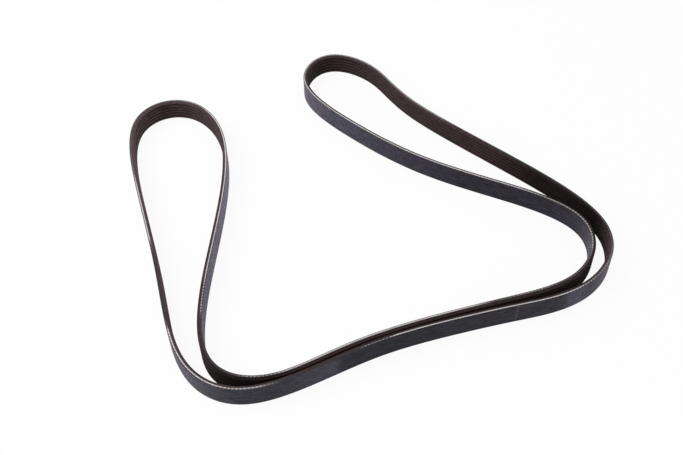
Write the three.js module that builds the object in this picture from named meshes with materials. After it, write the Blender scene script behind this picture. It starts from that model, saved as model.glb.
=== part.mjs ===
// Serpentine belt: a ribbed drive belt with six V ribs on the inside and a smooth back,
// standing on its edge in a long open loop that bends back on itself.
// Millimetres, +Z up. The origin is the middle of the footprint, at floor level.

import * as THREE from "three";

// Driving dimensions of the belt.
const BELT_LENGTH = 2300; // once round, along the tensile cords
const RIB_COUNT = 6;
const RIB_PITCH = 3.56; // one rib to the next, the PK section of car accessory drives
const RIB_ANGLE = 40; // degrees between the two flanks of a rib
const RIB_DEPTH = 2.2; // groove root to rib crest
const GROOVE_ROOT_WIDTH = 0.45; // flat at the bottom of each groove
const CREST_CHAMFER = 0.22; // corner broken off on each side of a crest
const BACKING_THICKNESS = 2.1; // groove root to the smooth back, with the cords inside it
const CORD_DEPTH = 1.2; // smooth back to the middle of the cords
const BACK_EDGE_CHAMFER = 0.25; // corner broken off where the back meets a cut side

// How finely the loop is divided.
const LONGEST_STEP = 60; // mm along a straight run
const LARGEST_TURN = 10; // degrees in one step round a bend

// The lay: control points of the line that the rib crests follow on the inside of the loop.
// They run counter-clockwise from the left side of the left lobe.
const LAY = [
  [-234, 121],
  [-202, 7],
  [-172, -88],
  [-155, -169],
  [-126, -204],
  [-85, -211],
  [-22, -180],
  [23, -158],
  [100, -138],
  [132, -131],
  [201, -116],
  [239, -45],
  [146, 45],
  [44, 135],
  [27, 188],
  [-29, 221],
  [-61, 167],
  [-9, 108],
  [60, 48],
  [131, 15],
  [224, -31],
  [199, -111],
  [125, -129],
  [-6, -164],
  [-72, -210],
  [-135, -195],
  [-140, -113],
  [-131, -40],
  [-123, 87],
  [-171, 151],
];

// Sizes that follow from the driving dimensions.
const THICKNESS = BACKING_THICKNESS + RIB_DEPTH;
const WIDTH = RIB_COUNT * RIB_PITCH;
const FLANK_WIDTH = RIB_DEPTH * Math.tan(THREE.MathUtils.degToRad(RIB_ANGLE / 2));
const CREST_WIDTH = RIB_PITCH - GROOVE_ROOT_WIDTH - 2 * FLANK_WIDTH;

// A closed cubic B-spline, whose curvature has no jumps, as in a bent strip of rubber.
class ClosedSpline extends THREE.Curve {
  constructor(points) {
    super();
    this.points = points;
  }

  getPoint(t, target = new THREE.Vector2()) {
    const count = this.points.length;
    const span = Math.floor(t * count);
    const u = t * count - span;
    const weights = [
      (1 - u) ** 3,
      3 * u ** 3 - 6 * u ** 2 + 4,
      -3 * u ** 3 + 3 * u ** 2 + 3 * u + 1,
      u ** 3,
    ];
    target.set(0, 0);
    weights.forEach((weight, i) => {
      const index = THREE.MathUtils.euclideanModulo(span + i - 1, count);
      target.addScaledVector(this.points[index], weight / 6);
    });
    return target;
  }
}

// The crest line at its real size. A line at a distance d outside a closed loop is longer
// by 2 pi d, so the crest line is that much shorter than the cord line.
function crestLine() {
  const lay = new ClosedSpline(LAY.map(([x, y]) => new THREE.Vector2(x, y)));
  lay.arcLengthDivisions = 40 * LAY.length;
  const crestLength = BELT_LENGTH - 2 * Math.PI * (THICKNESS - CORD_DEPTH);
  const scale = crestLength / lay.getLength();
  return new ClosedSpline(lay.points.map((point) => point.clone().multiplyScalar(scale)));
}

// The closed outline of the belt's cross-section as [out, up] pairs: out is the distance
// from the rib crests towards the back, and up is the height above the floor.
function crossSection() {
  const chamfer = Math.min(CREST_CHAMFER, CREST_WIDTH / 3);
  const chamferRise = chamfer * Math.cos(THREE.MathUtils.degToRad(RIB_ANGLE / 2));
  const chamferRun = chamfer * Math.sin(THREE.MathUtils.degToRad(RIB_ANGLE / 2));
  const outline = [];
  for (let rib = 0; rib < RIB_COUNT; rib++) {
    const foot = rib * RIB_PITCH + GROOVE_ROOT_WIDTH / 2;
    const crest = foot + FLANK_WIDTH;
    outline.push(
      [RIB_DEPTH, foot],
      [chamferRise, crest - chamferRun],
      [0, crest + chamfer],
      [0, crest + CREST_WIDTH - chamfer],
      [chamferRise, crest + CREST_WIDTH + chamferRun],
      [RIB_DEPTH, foot + CREST_WIDTH + 2 * FLANK_WIDTH],
    );
  }
  const back = THICKNESS - BACK_EDGE_CHAMFER;
  return [
    [RIB_DEPTH, 0],
    ...outline,
    [RIB_DEPTH, WIDTH],
    [back, WIDTH],
    [THICKNESS, WIDTH - BACK_EDGE_CHAMFER],
    [THICKNESS, BACK_EDGE_CHAMFER],
    [back, 0],
  ];
}

// Places along the line where a cross-section stands, closer together where it bends more.
// Each has its point and the direction out of the loop, to the right of the direction of travel.
function stations(line) {
  const samples = 40 * line.points.length;
  const heading = (k) => {
    const ahead = line.getPoint((k + 0.5) / samples);
    return ahead.sub(line.getPoint((k - 0.5) / samples));
  };
  const effort = [0];
  for (let k = 0; k < samples; k++) {
    const here = heading(k);
    const next = heading(k + 1);
    const turn = THREE.MathUtils.radToDeg(Math.abs(here.cross(next) / here.dot(next)));
    effort.push(effort[k] + next.length() / LONGEST_STEP + turn / LARGEST_TURN);
  }
  const count = Math.ceil(effort[samples]);
  const found = [];
  let k = 0;
  for (let i = 0; i < count; i++) {
    const wanted = (i * effort[samples]) / count;
    while (effort[k + 1] <= wanted) {
      k++;
    }
    const share = (wanted - effort[k]) / (effort[k + 1] - effort[k]);
    const along = heading(k + share).normalize();
    found.push({
      point: line.getPoint((k + share) / samples),
      out: new THREE.Vector2(along.y, -along.x),
    });
  }
  return found;
}

// The section carried once round the loop and joined to itself, so it has no ends.
function sweepRound(places, outline) {
  const positions = [];
  places.forEach(({ point, out }) => {
    outline.forEach(([distance, height]) => {
      positions.push(point.x + out.x * distance, point.y + out.y * distance, height);
    });
  });
  const faces = [];
  const at = (i, j) => (i % places.length) * outline.length + (j % outline.length);
  for (let i = 0; i < places.length; i++) {
    for (let j = 0; j < outline.length; j++) {
      faces.push(at(i, j), at(i + 1, j + 1), at(i + 1, j));
      faces.push(at(i, j), at(i, j + 1), at(i + 1, j + 1));
    }
  }
  const geometry = new THREE.BufferGeometry();
  geometry.setAttribute("position", new THREE.Float32BufferAttribute(positions, 3));
  geometry.setIndex(faces);
  return geometry;
}

// The footprint is centred on the origin, and the lower edge stays at floor level.
function centreFootprint(geometry) {
  geometry.computeBoundingBox();
  const middle = geometry.boundingBox.getCenter(new THREE.Vector3());
  geometry.translate(-middle.x, -middle.y, 0);
  geometry.computeVertexNormals();
}

function rubber() {
  return new THREE.MeshStandardMaterial({
    color: 0x2f2d33,
    roughness: 0.75,
    metalness: 0,
    flatShading: true,
  });
}

function belt() {
  const geometry = sweepRound(stations(crestLine()), crossSection());
  centreFootprint(geometry);
  const mesh = new THREE.Mesh(geometry, rubber());
  mesh.name = "belt";
  return mesh;
}

const serpentineBelt = new THREE.Group();
serpentineBelt.add(belt());

export default serpentineBelt;
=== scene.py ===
"""Looks of the serpentine belt: its finely rounded ribbed section, the twisted tensile cords that
show in the cut edges, the fabric back and the ground ribs, in plain soft studio light."""

import math

import bpy
import numpy as np
from mathutils import Matrix, Vector


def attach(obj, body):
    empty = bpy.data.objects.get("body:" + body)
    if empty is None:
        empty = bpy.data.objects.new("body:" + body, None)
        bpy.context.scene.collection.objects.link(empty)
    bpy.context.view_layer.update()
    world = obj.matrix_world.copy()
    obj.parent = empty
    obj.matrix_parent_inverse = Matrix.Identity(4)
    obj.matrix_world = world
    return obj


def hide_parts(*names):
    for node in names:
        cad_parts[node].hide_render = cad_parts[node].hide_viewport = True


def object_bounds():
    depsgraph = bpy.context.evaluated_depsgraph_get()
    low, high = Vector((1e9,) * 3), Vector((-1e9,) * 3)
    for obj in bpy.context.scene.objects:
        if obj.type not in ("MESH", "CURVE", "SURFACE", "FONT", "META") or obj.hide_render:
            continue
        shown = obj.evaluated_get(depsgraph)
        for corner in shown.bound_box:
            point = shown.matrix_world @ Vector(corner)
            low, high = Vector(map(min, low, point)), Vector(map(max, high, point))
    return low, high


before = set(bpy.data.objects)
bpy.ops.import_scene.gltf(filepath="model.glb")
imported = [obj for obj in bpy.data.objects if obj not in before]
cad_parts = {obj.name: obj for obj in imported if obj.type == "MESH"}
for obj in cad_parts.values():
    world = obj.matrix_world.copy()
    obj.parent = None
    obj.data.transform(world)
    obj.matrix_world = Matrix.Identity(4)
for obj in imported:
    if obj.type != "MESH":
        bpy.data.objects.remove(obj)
cad_low, cad_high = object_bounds()

MM = 0.001
TURN = 2 * math.pi

# The belt's sizes in millimetres, as in the CAD source.
BELT_LENGTH = 2300.0
RIB_COUNT = 6
RIB_PITCH = 3.56
RIB_ANGLE = 40.0
RIB_DEPTH = 2.2
GROOVE_ROOT_WIDTH = 0.45
BACKING_THICKNESS = 2.1
CORD_DEPTH = 1.2
THICKNESS = BACKING_THICKNESS + RIB_DEPTH
WIDTH = RIB_COUNT * RIB_PITCH
CORD_OUT = THICKNESS - CORD_DEPTH
FLANK_WIDTH = RIB_DEPTH * math.tan(math.radians(RIB_ANGLE / 2))
CREST_WIDTH = RIB_PITCH - GROOVE_ROOT_WIDTH - 2 * FLANK_WIDTH

# Control points of the line that the rib crests follow, counter-clockwise.
LAY = np.array([
    [-234, 121], [-202, 7], [-172, -88], [-155, -169], [-126, -204], [-85, -211],
    [-22, -180], [23, -158], [100, -138], [132, -131], [201, -116], [239, -45],
    [146, 45], [44, 135], [27, 188], [-29, 221], [-61, 167], [-9, 108],
    [60, 48], [131, 15], [224, -31], [199, -111], [125, -129], [-6, -164],
    [-72, -210], [-135, -195], [-140, -113], [-131, -40], [-123, 87], [-171, 151],
], float)
LAY_SAMPLES = 60001  # places at which this line is measured

# How the corners of the section are rounded: the radius in millimetres, and the segments.
FOOT_ROUND = 0.05, 1
ROOT_ROUND = 0.12, 2
CREST_ROUND = 0.30, 3
BACK_ROUND = 0.30, 4
NO_ROUND = 0, 0
BACK_POINTS = 0.72, 0.28  # points between the back's corners, as shares of the width
BACK_WRAP = 0.28  # how far the finish of the back reaches round its corners
EDGE_REACH = 0.03  # how far the finish of the cut edge reaches past it

BACK, EDGE, RIBS = 0, 1, 2  # the belt's finishes, in the order of its materials

BELT_TRIANGLES = 197000
STEP_LENGTH, STEP_ANGLE = 3.2, 1.6  # millimetres along and degrees of bend that get as many faces

CORD_RADIUS = 0.50
CORD_LOBES = 0.30  # how far each ply swells the cord, as a share of its radius
BULGE_SPACING = 3.2  # from one ply to the next along the twist
CORD_BULGES = round(BELT_LENGTH / BULGE_SPACING)
BULGE_STATIONS = 6
CORD_SIDES = 8

# Wear along the belt, and on the back and the ribs also painted light and shade. Places are in
# millimetres round the loop from where the lay begins, and values run straight from one stretch
# to the next.

# Each stretch of the cut edge: its start and end, how deep the middle of the cord lies under the
# face, and how pale the cut rubber is. The cords are wound at a slight slope, so that the knife
# lays them bare in some stretches and only grazes or misses them in others.
DEPTH, PALENESS = 2, 3
BARE, DASHED, BURIED = 0.28, 0.48, 0.85
CUT_EDGE = [
    (-40, 60, 0.60, 0.12), (95, 160, 0.32, 0.25), (185, 255, BURIED, 0.0),
    (268, 335, 0.34, 0.30), (352, 374, 0.47, 0.40), (392, 455, BURIED, 0.0),
    (463, 486, 0.50, 0.05), (494, 640, BARE, 0.15), (676, 695, 0.56, 0.30),
    (745, 930, BURIED, 0.05), (945, 1150, 0.50, 0.38), (1165, 1425, BARE, 0.40),
    (1445, 1530, 0.50, 0.40), (1545, 1570, BURIED, 0.10), (1595, 1620, DASHED, 0.12),
    (1640, 1642, 0.60, 0.10), (1665, 1820, 0.30, 0.30), (1840, 1862, DASHED, 0.10),
    (1885, 1935, BURIED, 0.0), (1948, 1975, 0.45, 0.15), (1990, 2000, 0.32, 0.12),
    (2020, 2100, BARE, 0.20), (2130, 2200, BARE, 0.45), (2215, 2235, 0.50, 0.35),
]

# Each stretch of the smooth back and of the ribs: its start and end, and how light it is. This
# lightness is partly the rubber's own tone and partly painted light and shade.
SHADE = 2
# Painted light on the back: the highest values, from 1130 to 1190 and from 1930 to 2166, paint a
# sheen where the back is seen at a glancing angle or faces the lamp. The step near 440 and the
# small light patches are the back's own tone.
BACK_TONE_AND_PAINTED_LIGHT = [
    (300, 385, 1.05), (420, 440, 1.7), (442, 500, 0.55), (540, 570, 0.70), (600, 640, 0.85),
    (647, 657, 2.2), (666, 668, 1.1), (686, 694, 1.6), (760, 1040, 1.0), (1130, 1190, 2.6),
    (1265, 1267, 1.7), (1375, 1440, 0.85), (1490, 1494, 1.0), (1528, 1536, 1.3),
    (1600, 1840, 1.0), (1930, 1990, 3.0), (2010, 2060, 4.0), (2085, 2135, 5.2),
    (2160, 2166, 2.4),
]
# Painted light on the ribs: the high values near 0 and from 2140 to 2260 paint a glancing sheen,
# and the low value from 1845 to 1880 paints shade where the runs of the bend lie close together.
# Elsewhere the values only make stretches lighter or darker.
RIB_TONE_AND_PAINTED_LIGHT = [
    (-20, 60, 2.6), (500, 640, 1.0), (700, 722, 1.5), (755, 765, 0.35), (800, 830, 0.55),
    (878, 882, 1.2), (935, 990, 1.5), (1040, 1130, 1.4), (1298, 1302, 1.0), (1538, 1545, 0.8),
    (1600, 1800, 1.0), (1845, 1880, 0.45), (1910, 1920, 1.0), (2140, 2190, 1.65),
    (2240, 2260, 2.0),
]

BACK_SEAM = 599.0  # the place where the ends of the back's fabric meet


def at_places(along, stretches, column):
    """The value in a column of the stretches at each place along the belt."""
    places = [end for stretch in stretches for end in stretch[:2]]
    values = [stretch[column] for stretch in stretches for _ in range(2)]
    return np.interp(along, places, values, period=BELT_LENGTH)


# The lay.

def spline(t):
    """Points and slopes of the closed cubic B-spline at t, an array from 0 to 1."""
    count = len(LAY)
    span = np.floor(t * count).astype(int)
    u = t * count - span
    place = np.stack([
        (1 - u) ** 3,
        3 * u**3 - 6 * u**2 + 4,
        -3 * u**3 + 3 * u**2 + 3 * u + 1,
        u**3,
    ], 1)
    slope = np.stack([-((1 - u) ** 2), 3 * u**2 - 4 * u, -3 * u**2 + 2 * u + 1, u**2], 1)
    near = LAY[(span[:, None] + np.arange(-1, 3)) % count]
    return np.einsum("nk,nkx->nx", place, near) / 6, np.einsum("nk,nkx->nx", slope, near) / 2


def outward(slopes):
    """Unit directions out of the loop, square to the slopes."""
    unit = slopes / np.linalg.norm(slopes, axis=1)[:, None]
    return np.stack([unit[:, 1], -unit[:, 0]], 1)


class Loop:
    """The crest line at its real size and place, finely sampled once round."""

    def __init__(self):
        self.t = np.linspace(0, 1, LAY_SAMPLES)
        points, slopes = spline(self.t)
        steps = np.linalg.norm(np.diff(points, axis=0), axis=1)
        self.scale = (BELT_LENGTH - TURN * CORD_OUT) / steps.sum()
        heading = np.unwrap(np.arctan2(slopes[:, 1], slopes[:, 0]))
        crest = np.concatenate([[0], np.cumsum(steps)]) * self.scale
        self.along = crest + CORD_OUT * (heading - heading[0])
        self.turned = np.degrees(np.concatenate([[0], np.cumsum(np.abs(np.diff(heading)))]))
        back = points * self.scale + outward(slopes) * THICKNESS
        middle = (np.array(cad_low)[:2] + np.array(cad_high)[:2]) / 2 / MM
        self.shift = middle - (back.min(0) + back.max(0)) / 2

    def at(self, t):
        """Crest-line points and directions out of the loop at t."""
        points, slopes = spline(t)
        return points * self.scale + self.shift, outward(slopes)

    def along_at(self, t):
        """Millimetres along the belt at t, measured at the cords."""
        return np.interp(t, self.t, self.along)

    def even(self, count):
        """t of count places, evenly spaced along the belt."""
        return self.spaced(count, self.along)

    def closer_in_bends(self, count):
        """t of count places round the loop, closer together in the bends."""
        return self.spaced(count, self.along / STEP_LENGTH + self.turned / STEP_ANGLE)

    def spaced(self, count, measure):
        return np.interp(np.arange(count) / count * measure[-1], measure, self.t)


loop = Loop()


# The cross-section.

def left(v):
    return np.array([-v[1], v[0]])


def rounded(corners):
    """A closed outline with its corners rounded. corners holds (out, up, (radius, segments)), and
    a corner with no segments stays one point. Gives points and the outward normal at each."""
    points, normals = [], []
    xy = np.array([corner[:2] for corner in corners], float)
    for k, (_, _, (radius, segments)) in enumerate(corners):
        before = xy[k] - xy[k - 1]
        after = xy[(k + 1) % len(xy)] - xy[k]
        before /= np.linalg.norm(before)
        after /= np.linalg.norm(after)
        turn = math.atan2(before[0] * after[1] - before[1] * after[0], before @ after)
        trim = radius * math.tan(abs(turn) / 2)
        sign = 1 if turn > 0 else -1
        centre = xy[k] - before * trim + left(before) * radius * sign
        for i in range(segments + 1):
            angle = turn * i / max(segments, 1)
            direction = before * math.cos(angle) + left(before) * math.sin(angle)
            points.append(centre - left(direction) * radius * sign)
            normals.append(left(direction))
    return np.array(points), np.array(normals)


def belt_section():
    """Points [out, up] and normals of the section, and the finish of the face after each point."""
    corners = [(RIB_DEPTH, 0, FOOT_ROUND)]
    for rib in range(RIB_COUNT):
        foot = rib * RIB_PITCH + GROOVE_ROOT_WIDTH / 2
        crest = foot + FLANK_WIDTH
        corners += [
            (RIB_DEPTH, foot, ROOT_ROUND),
            (0, crest, CREST_ROUND),
            (0, crest + CREST_WIDTH, CREST_ROUND),
            (RIB_DEPTH, foot + CREST_WIDTH + 2 * FLANK_WIDTH, ROOT_ROUND),
        ]
    corners += [(RIB_DEPTH, WIDTH, FOOT_ROUND), (THICKNESS, WIDTH, BACK_ROUND)]
    corners += [(THICKNESS, WIDTH * share, NO_ROUND) for share in BACK_POINTS]
    corners += [(THICKNESS, 0, BACK_ROUND)]
    points, normals = rounded(corners)
    out, up = ((points + np.roll(points, -1, 0)) / 2).T
    finish = np.full(len(points), RIBS)
    at_edge = (up < EDGE_REACH) | (up > WIDTH - EDGE_REACH)
    finish[(out > RIB_DEPTH - EDGE_REACH) & at_edge] = EDGE
    finish[out > THICKNESS - BACK_WRAP] = BACK
    return points, normals, finish


# Meshes.

def make_mesh(name, positions, normals, faces, finishes, attributes):
    """A smooth mesh object in metres. attributes holds (name, domain, vectors)."""
    mesh = bpy.data.meshes.new(name)
    mesh.vertices.add(len(positions))
    mesh.vertices.foreach_set("co", (positions * MM).astype(np.float32).ravel())
    mesh.loops.add(faces.size)
    mesh.loops.foreach_set("vertex_index", faces.astype(np.int32).ravel())
    mesh.polygons.add(len(faces))
    mesh.polygons.foreach_set("loop_start", (np.arange(len(faces)) * 4).astype(np.int32))
    mesh.polygons.foreach_set("material_index", finishes.astype(np.int32))
    mesh.update(calc_edges=True)
    mesh.polygons.foreach_set("use_smooth", np.ones(len(faces), bool))
    for title, domain, vectors in attributes:
        layer = mesh.attributes.new(title, "FLOAT_VECTOR", domain)
        layer.data.foreach_set("vector", vectors.astype(np.float32).ravel())
    mesh.normals_split_custom_set_from_vertices(normals.astype(float).tolist())
    mesh.validate()
    piece = bpy.data.objects.new(name, mesh)
    bpy.context.scene.collection.objects.link(piece)
    return piece


def at_corners(values):
    """The values at the four corners of each face, from the values at (station, point)."""
    ahead = np.roll(values, -1, 0)
    return np.stack([values, np.roll(values, -1, 1), np.roll(ahead, -1, 1), ahead], -1)


def swept(name, t, sections, section_normals, finish, pale):
    """A section carried once round the loop. sections is (stations, points, 2) in [out, up], and
    pale tells how pale the cut rubber is at each of these points. For a cord it tells how near a
    ply's crest each point is, so that the valleys between the plies get painted shade."""
    stations, count = sections.shape[:2]
    points, out = loop.at(t)
    flat = points[:, None] + out[:, None] * sections[..., :1]
    positions = np.concatenate([flat, sections[..., 1:]], 2)
    flat_normals = out[:, None] * section_normals[..., :1]
    normals = np.concatenate([flat_normals, section_normals[..., 1:]], 2)
    faces = at_corners(np.arange(stations * count).reshape(stations, count))

    def all_round(values):
        return np.broadcast_to(values[:, None], (stations, count))

    # For the patterns without a seam: a circle as long as the belt, and the way round the section.
    along = loop.along_at(t)
    angle = TURN * along / BELT_LENGTH
    radius = BELT_LENGTH / TURN
    gaps = np.linalg.norm(np.diff(sections, axis=1, append=sections[:, :1]), axis=2)
    across = np.cumsum(gaps, axis=1) - gaps
    hoop = np.stack(
        [all_round(radius * np.cos(angle)), all_round(radius * np.sin(angle)), across], 2)

    # For the regular patterns: millimetres along, up and out at the corners of the faces.
    here, ahead = all_round(along), all_round(np.append(along[1:], BELT_LENGTH))
    run = np.stack([
        np.stack([here, here, ahead, ahead], -1),
        at_corners(sections[..., 1]),
        at_corners(sections[..., 0]),
    ], -1)

    # The lightness of the back and of the ribs at each station, with painted light and shade in it.
    back, ribs = (at_places(along, shades, SHADE) for shades in (BACK_TONE_AND_PAINTED_LIGHT, RIB_TONE_AND_PAINTED_LIGHT))
    shades = np.stack([pale, all_round(back), all_round(ribs)], 2)
    attributes = [("hoop", "POINT", hoop), ("shades", "POINT", shades), ("run", "CORNER", run)]
    return make_mesh(name, positions.reshape(-1, 3), normals.reshape(-1, 3),
                     faces.reshape(-1, 4), np.tile(finish, stations), attributes)


def make_belt():
    points, normals, finish = belt_section()
    stations = BELT_TRIANGLES // 2 // len(points)
    t = loop.closer_in_bends(stations)
    shape = (stations, *points.shape)
    pale = at_places(loop.along_at(t), CUT_EDGE, PALENESS)
    belt = swept("belt_surface", t, np.broadcast_to(points, shape),
                 np.broadcast_to(normals, shape), finish,
                 np.broadcast_to(pale[:, None], shape[:2]))
    for material in (back_rubber(), edge_rubber(), rib_rubber()):
        belt.data.materials.append(material)
    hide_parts("belt")
    return belt


def upper_cord_height(along):
    return WIDTH - at_places(along, CUT_EDGE, DEPTH)


def lower_cord_height(along):
    """The lower edge is hidden. Its cord takes the stretches of the upper one half a belt on, and
    is nowhere wholly bare."""
    return np.maximum(at_places(along + BELT_LENGTH / 2, CUT_EDGE, DEPTH), DASHED)


def make_cord(name, height_at):
    """The two-ply tensile cord in one cut edge. height_at gives how high its middle lies."""
    t = loop.even(CORD_BULGES * BULGE_STATIONS)
    along = loop.along_at(t)
    twist = TURN / 2 * CORD_BULGES * along / BELT_LENGTH
    angle = -TURN * np.arange(CORD_SIDES) / CORD_SIDES
    from_ply = 2 * (angle - twist[:, None])
    swell = 1 + CORD_LOBES * np.cos(from_ply)
    radius = CORD_RADIUS * swell
    sections = np.stack([
        CORD_OUT + radius * np.cos(angle),
        height_at(along)[:, None] + radius * np.sin(angle),
    ], 2)
    slant = angle + 2 * CORD_LOBES * np.sin(from_ply) / swell
    normals = np.stack([np.cos(slant), np.sin(slant)], 2)
    # 1 on the crest of each ply and 0 in the valley between, where the yarn gets painted shade.
    ply = (1 + np.cos(from_ply)) / 2
    cord = swept(name, t, sections, normals, np.zeros(CORD_SIDES), ply)
    cord.data.materials.append(cord_yarn())
    return cord


# Materials.

class Nodes:
    """A node tree, with short names for the nodes that it is made of."""

    def __init__(self, tree):
        self.tree = tree

    def node(self, kind, inputs=(), **settings):
        made = self.tree.nodes.new("ShaderNode" + kind)
        for key, value in settings.items():
            setattr(made, key, value)
        for key, value in dict(inputs).items():
            if isinstance(value, bpy.types.NodeSocket):
                self.tree.links.new(value, made.inputs[key])
            else:
                made.inputs[key].default_value = value
        return made

    def math(self, operation, a, b=0.0):
        return self.node("Math", {0: a, 1: b}, operation=operation).outputs[0]


class Finish(Nodes):
    """A principled material."""

    def __init__(self, name, **sockets):
        self.material = bpy.data.materials.new(name)
        self.material.use_nodes = True
        super().__init__(self.material.node_tree)
        self.shader = self.tree.nodes["Principled BSDF"]
        for socket, value in sockets.items():
            self.shader.inputs[socket.replace("_", " ")].default_value = value

    def parts(self, name):
        """The three numbers of an attribute."""
        vector = self.node("Attribute", attribute_name=name).outputs["Vector"]
        return self.node("SeparateXYZ", {0: vector}).outputs

    def hoop(self, along=1.0, across=1.0):
        """Where the point is in the patterns without a seam, scaled along and across the belt."""
        vector = self.node("Attribute", attribute_name="hoop").outputs["Vector"]
        if (along, across) == (1.0, 1.0):
            return vector
        scales = {0: vector, 1: (along, along, across)}
        return self.node("VectorMath", scales, operation="MULTIPLY").outputs[0]

    def noise(self, vector, scale, detail, roughness):
        inputs = {"Vector": vector, "Scale": scale, "Detail": detail, "Roughness": roughness}
        return self.node("TexNoise", inputs).outputs["Fac"]

    def wave(self, distance, spacing):
        """A sine of the distance, with a crest each spacing."""
        return self.math("SINE", self.math("MULTIPLY", distance, TURN / spacing))

    def ramp(self, value, given, wanted=(0.0, 1.0)):
        """Carries the value from the given range to the wanted one, and holds it there."""
        inputs = {0: value, 1: given[0], 2: given[1], 3: wanted[0], 4: wanted[1]}
        return self.node("MapRange", inputs, clamp=True).outputs[0]

    def times(self, base, factor):
        inputs = {0: base, "Scale": factor}
        return self.node("VectorMath", inputs, operation="SCALE").outputs[0]

    def mix(self, share, a, b):
        return self.node("Mix", {0: share, 6: a, 7: b}, data_type="RGBA").outputs[2]

    def bump(self, height, strength, depth, under=None):
        """A relief as deep as depth in millimetres, on top of the one under it."""
        inputs = {"Height": height, "Strength": strength, "Distance": depth * MM}
        if under is not None:
            inputs["Normal"] = under
        return self.node("Bump", inputs).outputs[0]

    def set(self, socket, value):
        self.tree.links.new(value, self.shader.inputs[socket])


def colour(red, green, blue):
    """A colour written in 0 to 255, as linear light."""
    def linear(v):
        v /= 255
        return v / 12.92 if v <= 0.04045 else ((v + 0.055) / 1.055) ** 2.4
    return (linear(red), linear(green), linear(blue), 1.0)


# The smooth back.
BACK_GREEN, BACK_VIOLET = colour(15, 21, 26), colour(30, 18, 33)
BACK_STROKE, BACK_LINE = colour(45, 42, 54), colour(54, 51, 64)
BACK_GRAIN, BACK_SEAM_GREY = colour(74, 73, 86), colour(96, 92, 104)
BACK_SHEEN = colour(212, 205, 226)
WEAVE_SPACING = 0.92
LINE_SPACING_ALONG, LINE_SPACING_UP = 5, 3
LINE_WAVER = 7.0

# The cut edge.
EDGE_DARK, EDGE_LIGHT = colour(27, 20, 23), colour(54, 45, 49)
# The second colour on the next line is painted shade between the cord's plies.
EDGE_FLECK, EDGE_GAP_SHADE, EDGE_PALE = colour(112, 102, 105), colour(22, 16, 18), colour(196, 188, 190)
PALE_MIDDLE = CORD_OUT - 0.1  # how far out the pale band beside the cord has its middle

# The ribs.
RIB_DARK, RIB_LIGHT = colour(29, 18, 19), colour(44, 30, 31)
RIB_SCUFF, RIB_FIBRE = colour(62, 48, 50), colour(96, 80, 78)
RIB_SHINE = 0.18

# The cords.
YARN_CLEAN, YARN_STAINED = colour(246, 241, 242), colour(216, 208, 211)
# The second colour on the next line is painted shade for the valleys between the plies.
YARN_FIBRE, YARN_GAP_SHADE = colour(160, 151, 154), colour(74, 64, 67)


def back_rubber():
    """The smooth back: blue-grey rubber over fine fabric laid on the bias, with faint slanting
    strokes, greyer where rubbed and a little violet or green in patches, and lighter or darker from
    stretch to stretch, partly by its own tone and partly by a painted sheen."""
    f = Finish("back_rubber", Sheen_Weight=0.28, Sheen_Roughness=0.3, Sheen_Tint=BACK_SHEEN)
    along, up, _ = f.parts("run")
    shade = f.parts("shades")[1]
    tint = f.noise(f.hoop(), scale=0.05, detail=2.0, roughness=0.5)
    strokes = f.noise(f.hoop(along=0.25), scale=0.5, detail=4.0, roughness=0.65)
    grain = f.noise(f.hoop(), scale=1.3, detail=3.0, roughness=0.7)
    waver = f.math("MULTIPLY", f.noise(f.hoop(), scale=0.3, detail=2.0, roughness=0.5), LINE_WAVER)
    slanting = f.math("ADD", f.math("MULTIPLY", along, TURN / LINE_SPACING_ALONG),
                      f.math("MULTIPLY", up, TURN / LINE_SPACING_UP))
    lines = f.math("SINE", f.math("ADD", slanting, waver))
    warp = f.wave(f.math("ADD", along, up), WEAVE_SPACING)
    weft = f.wave(f.math("SUBTRACT", along, up), WEAVE_SPACING)
    weave = f.math("MULTIPLY", warp, weft)
    from_seam = f.math("ABSOLUTE", f.math("SUBTRACT", along, BACK_SEAM))

    base = f.mix(f.ramp(tint, (0.42, 0.58)), BACK_GREEN, BACK_VIOLET)
    base = f.mix(f.ramp(strokes, (0.38, 0.68), (0.1, 0.9)), base, BACK_STROKE)
    base = f.mix(f.ramp(lines, (-0.4, 1.0), (0.0, 0.5)), base, BACK_LINE)
    base = f.mix(f.ramp(grain, (0.56, 0.74), (0.0, 0.55)), base, BACK_GRAIN)
    base = f.mix(f.ramp(from_seam, (0.5, 1.6), (0.35, 0.0)), base, BACK_SEAM_GREY)
    # The lightness table scales the base colour: in some stretches this is a painted sheen, and in
    # others the back's own tone.
    woven = f.math("MULTIPLY", shade, f.ramp(weave, (-0.8, 0.8), (0.70, 1.30)))
    f.set("Base Color", f.times(base, woven))

    shine = f.ramp(strokes, (0.38, 0.66), (0.11, 0.22))
    # The shine follows the same lightness, painted sheen included.
    f.set("Specular IOR Level", f.math("MULTIPLY", f.math("POWER", shade, 0.5), shine))
    f.set("Roughness", f.ramp(grain, (0.3, 0.7), (0.48, 0.64)))
    relief = f.bump(weave, strength=0.6, depth=0.08)
    relief = f.bump(lines, strength=0.4, depth=0.1, under=relief)
    f.set("Normal", f.bump(grain, strength=0.5, depth=0.1, under=relief))
    return f.material


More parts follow.
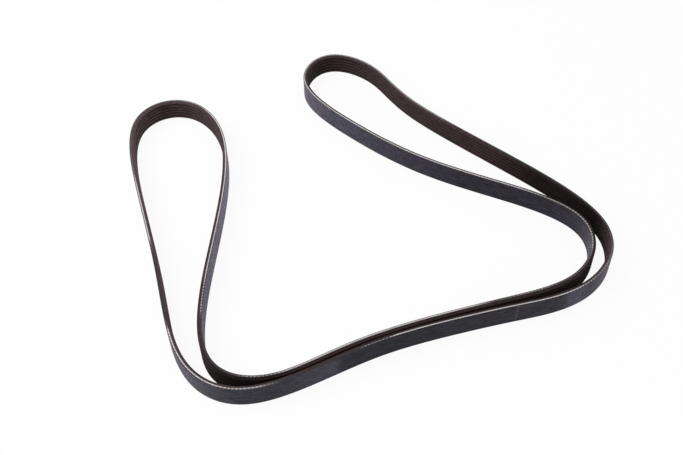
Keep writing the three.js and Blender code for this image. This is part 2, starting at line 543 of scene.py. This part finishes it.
def edge_rubber():
    """The cut edge: brown-black rubber under the back and in the ribs, scored across by the knife,
    with the adhesive and torn ends of fibre pale beside the cord, and faint bands of painted shade
    where the cord's plies dip between their bulges."""
    f = Finish("edge_rubber", Specular_IOR_Level=0.3, Roughness=0.66)
    along, _, out = f.parts("run")
    pale = f.parts("shades")[0]
    score = f.noise(f.hoop(across=0.25), scale=1.1, detail=3.0, roughness=0.65)
    blotch = f.noise(f.hoop(), scale=0.12, detail=2.0, roughness=0.5)
    fleck = f.noise(f.hoop(), scale=2.4, detail=2.0, roughness=0.7)
    twist = f.wave(along, BELT_LENGTH / CORD_BULGES)

    base = f.mix(f.ramp(score, (0.36, 0.66)), EDGE_DARK, EDGE_LIGHT)
    base = f.mix(f.ramp(fleck, (0.58, 0.74), (0.0, 0.55)), base, EDGE_FLECK)
    # Painted shade in faint bands, once for each bulge of the cord, where its plies dip.
    base = f.mix(f.ramp(twist, (-1.0, 1.0), (0.35, 0.0)), base, EDGE_GAP_SHADE)
    from_cord = f.math("ABSOLUTE", f.math("SUBTRACT", out, PALE_MIDDLE))
    patchy = f.math("MULTIPLY", f.ramp(blotch, (0.35, 0.65), (0.75, 1.15)),
                    f.ramp(from_cord, (0.45, 1.3), (1.0, 0.25)))
    patchy = f.math("MULTIPLY", patchy, f.ramp(twist, (-0.6, 0.4), (0.45, 1.2)))
    f.set("Base Color", f.mix(f.math("MULTIPLY", pale, patchy), base, EDGE_PALE))
    f.set("Normal", f.bump(score, strength=0.8, depth=0.15))
    return f.material


def rib_rubber():
    """The ribs: matt red-black, ground lengthways, filled with short pale fibres, and lighter or
    darker from stretch to stretch by painted sheen and shade as well as by their own tone.
    """
    f = Finish("rib_rubber", Roughness=0.75)
    shade = f.parts("shades")[2]
    ground = f.noise(f.hoop(along=0.04), scale=5.0, detail=3.0, roughness=0.6)
    scuff = f.noise(f.hoop(along=0.3), scale=0.6, detail=3.0, roughness=0.6)
    fibre = f.noise(f.hoop(across=0.25), scale=2.2, detail=2.0, roughness=0.7)

    base = f.mix(f.ramp(ground, (0.3, 0.7)), RIB_DARK, RIB_LIGHT)
    base = f.mix(f.ramp(scuff, (0.40, 0.68), (0.0, 0.55)), base, RIB_SCUFF)
    base = f.mix(f.ramp(fibre, (0.60, 0.76), (0.0, 0.5)), base, RIB_FIBRE)
    # The lightness table scales the base colour and the shine. Painted sheen and shade are in it,
    # as well as the ribs' own tone.
    f.set("Base Color", f.times(base, shade))
    f.set("Specular IOR Level", f.math("MULTIPLY", shade, RIB_SHINE))
    relief = f.bump(ground, strength=0.6, depth=0.08)
    f.set("Normal", f.bump(fibre, strength=0.5, depth=0.06, under=relief))
    return f.material


def cord_yarn():
    """The tensile cord: pale twisted polyester, stained by the adhesive, with painted shade in the
    valleys between the plies.
    """
    f = Finish("cord_yarn", Specular_IOR_Level=0.3, Roughness=0.6)
    ply = f.parts("shades")[0]
    stain = f.noise(f.hoop(), scale=0.25, detail=3.0, roughness=0.6)
    fibre = f.noise(f.hoop(along=0.5), scale=5.0, detail=2.0, roughness=0.6)

    base = f.mix(f.ramp(stain, (0.35, 0.7)), YARN_CLEAN, YARN_STAINED)
    base = f.mix(f.ramp(fibre, (0.5, 0.75), (0.0, 0.5)), base, YARN_FIBRE)
    # Painted shade in the valleys between the plies.
    f.set("Base Color", f.mix(f.ramp(ply, (0.05, 0.5), (0.7, 0.0)), base, YARN_GAP_SHADE))
    f.set("Normal", f.bump(fibre, strength=0.5, depth=0.05))
    return f.material


# Floor, light and camera.

WHITE = (1, 1, 1, 1)
FLOOR_PAINT = (0.9, 0.9, 0.9, 1)
FLOOR_REACH = 12.0  # metres from the middle to each side
FLOOR_GLOW = 0.93  # how much of the floor that the camera sees is plain white rather than lit

# The camera looks down at a point near the middle of the belt, a little turned about its own
# axis. Angles are in degrees and lengths in metres, and the lens and the sensor in millimetres.
CAMERA_ELEVATION = 47.69
CAMERA_ROLL = -1.399
CAMERA_DISTANCE = 0.8585
CAMERA_TARGET = Vector((-0.015879, -0.023573, 0))
PICTURE_PIXELS = 683  # the width of the picture
FOCAL_PIXELS = 924.0  # the focal length, as it came out of the fit
CAMERA_SENSOR = 36
CAMERA_LENS = FOCAL_PIXELS * CAMERA_SENSOR / PICTURE_PIXELS


def seen_white(nodes):
    """1 for camera, glossy and transmission rays, else 0."""
    path = nodes.node("LightPath").outputs
    seen = nodes.math("MAXIMUM", path["Is Camera Ray"], path["Is Glossy Ray"])
    return nodes.math("MAXIMUM", seen, path["Is Transmission Ray"])


def make_floor():
    mesh = bpy.data.meshes.new("floor")
    corners = [(x * FLOOR_REACH, y * FLOOR_REACH, 0) for x, y in
               ((-1, -1), (1, -1), (1, 1), (-1, 1))]
    mesh.from_pydata(corners, [], [(0, 1, 2, 3)])
    floor = bpy.data.objects.new("floor", mesh)
    bpy.context.scene.collection.objects.link(floor)
    material = bpy.data.materials.new("white_floor")
    material.use_nodes = True
    material.node_tree.nodes.clear()
    nodes = Nodes(material.node_tree)
    paint = nodes.node("BsdfDiffuse", {"Color": FLOOR_PAINT})
    glow = nodes.node("Emission", {"Color": WHITE, "Strength": 1.0})
    share = nodes.math("MULTIPLY", seen_white(nodes), FLOOR_GLOW)
    mixed = nodes.node("MixShader", {0: share, 1: paint.outputs[0], 2: glow.outputs[0]})
    nodes.node("OutputMaterial", {"Surface": mixed.outputs[0]})
    mesh.materials.append(material)


def make_world(level):
    """White where it is seen, and soft light of the given level for the rest."""
    world = bpy.data.worlds.new("studio")
    bpy.context.scene.world = world
    world.use_nodes = True
    world.node_tree.nodes.clear()
    nodes = Nodes(world.node_tree)
    soft = nodes.node("Background", {"Color": WHITE, "Strength": level}).outputs[0]
    white = nodes.node("Background", {"Color": WHITE, "Strength": 1.0}).outputs[0]
    mixed = nodes.node("MixShader", {0: seen_white(nodes), 1: soft, 2: white})
    nodes.node("OutputWorld", {"Surface": mixed.outputs[0]})


def make_lamp(name, place, aim, size, watts):
    data = bpy.data.lights.new(name, "AREA")
    data.shape = "SQUARE"
    data.size = size
    data.energy = watts
    lamp = bpy.data.objects.new(name, data)
    lamp.location = place
    lamp.rotation_mode = "QUATERNION"
    lamp.rotation_quaternion = (Vector(aim) - Vector(place)).to_track_quat("-Z", "Y")
    bpy.context.scene.collection.objects.link(lamp)


def make_camera():
    elevation, roll = math.radians(CAMERA_ELEVATION), math.radians(CAMERA_ROLL)
    backward = Vector((0, -math.cos(elevation), math.sin(elevation)))
    upward = Vector((0, math.sin(elevation), math.cos(elevation)))
    right = Vector((1, 0, 0))
    x = right * math.cos(roll) + upward * math.sin(roll)
    y = upward * math.cos(roll) - right * math.sin(roll)
    matrix = Matrix((x, y, backward)).transposed().to_4x4()
    matrix.translation = CAMERA_TARGET + backward * CAMERA_DISTANCE
    data = bpy.data.cameras.new("camera")
    data.sensor_width = CAMERA_SENSOR
    data.lens = CAMERA_LENS
    data.clip_start, data.clip_end = 0.01, 50
    camera = bpy.data.objects.new("camera", data)
    camera.matrix_world = matrix
    bpy.context.scene.collection.objects.link(camera)
    bpy.context.scene.camera = camera


make_camera()
belt = make_belt()
cords = [make_cord("cord_upper", upper_cord_height), make_cord("cord_lower", lower_cord_height)]
for piece in (belt, *cords):
    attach(piece, "root")
make_floor()
make_world(level=0.6)
make_lamp("softbox", place=(-1.1, -0.1, 1.3), aim=(-0.1, 0, 0), size=1.2, watts=17)
bpy.context.scene.view_settings.view_transform = "Standard"
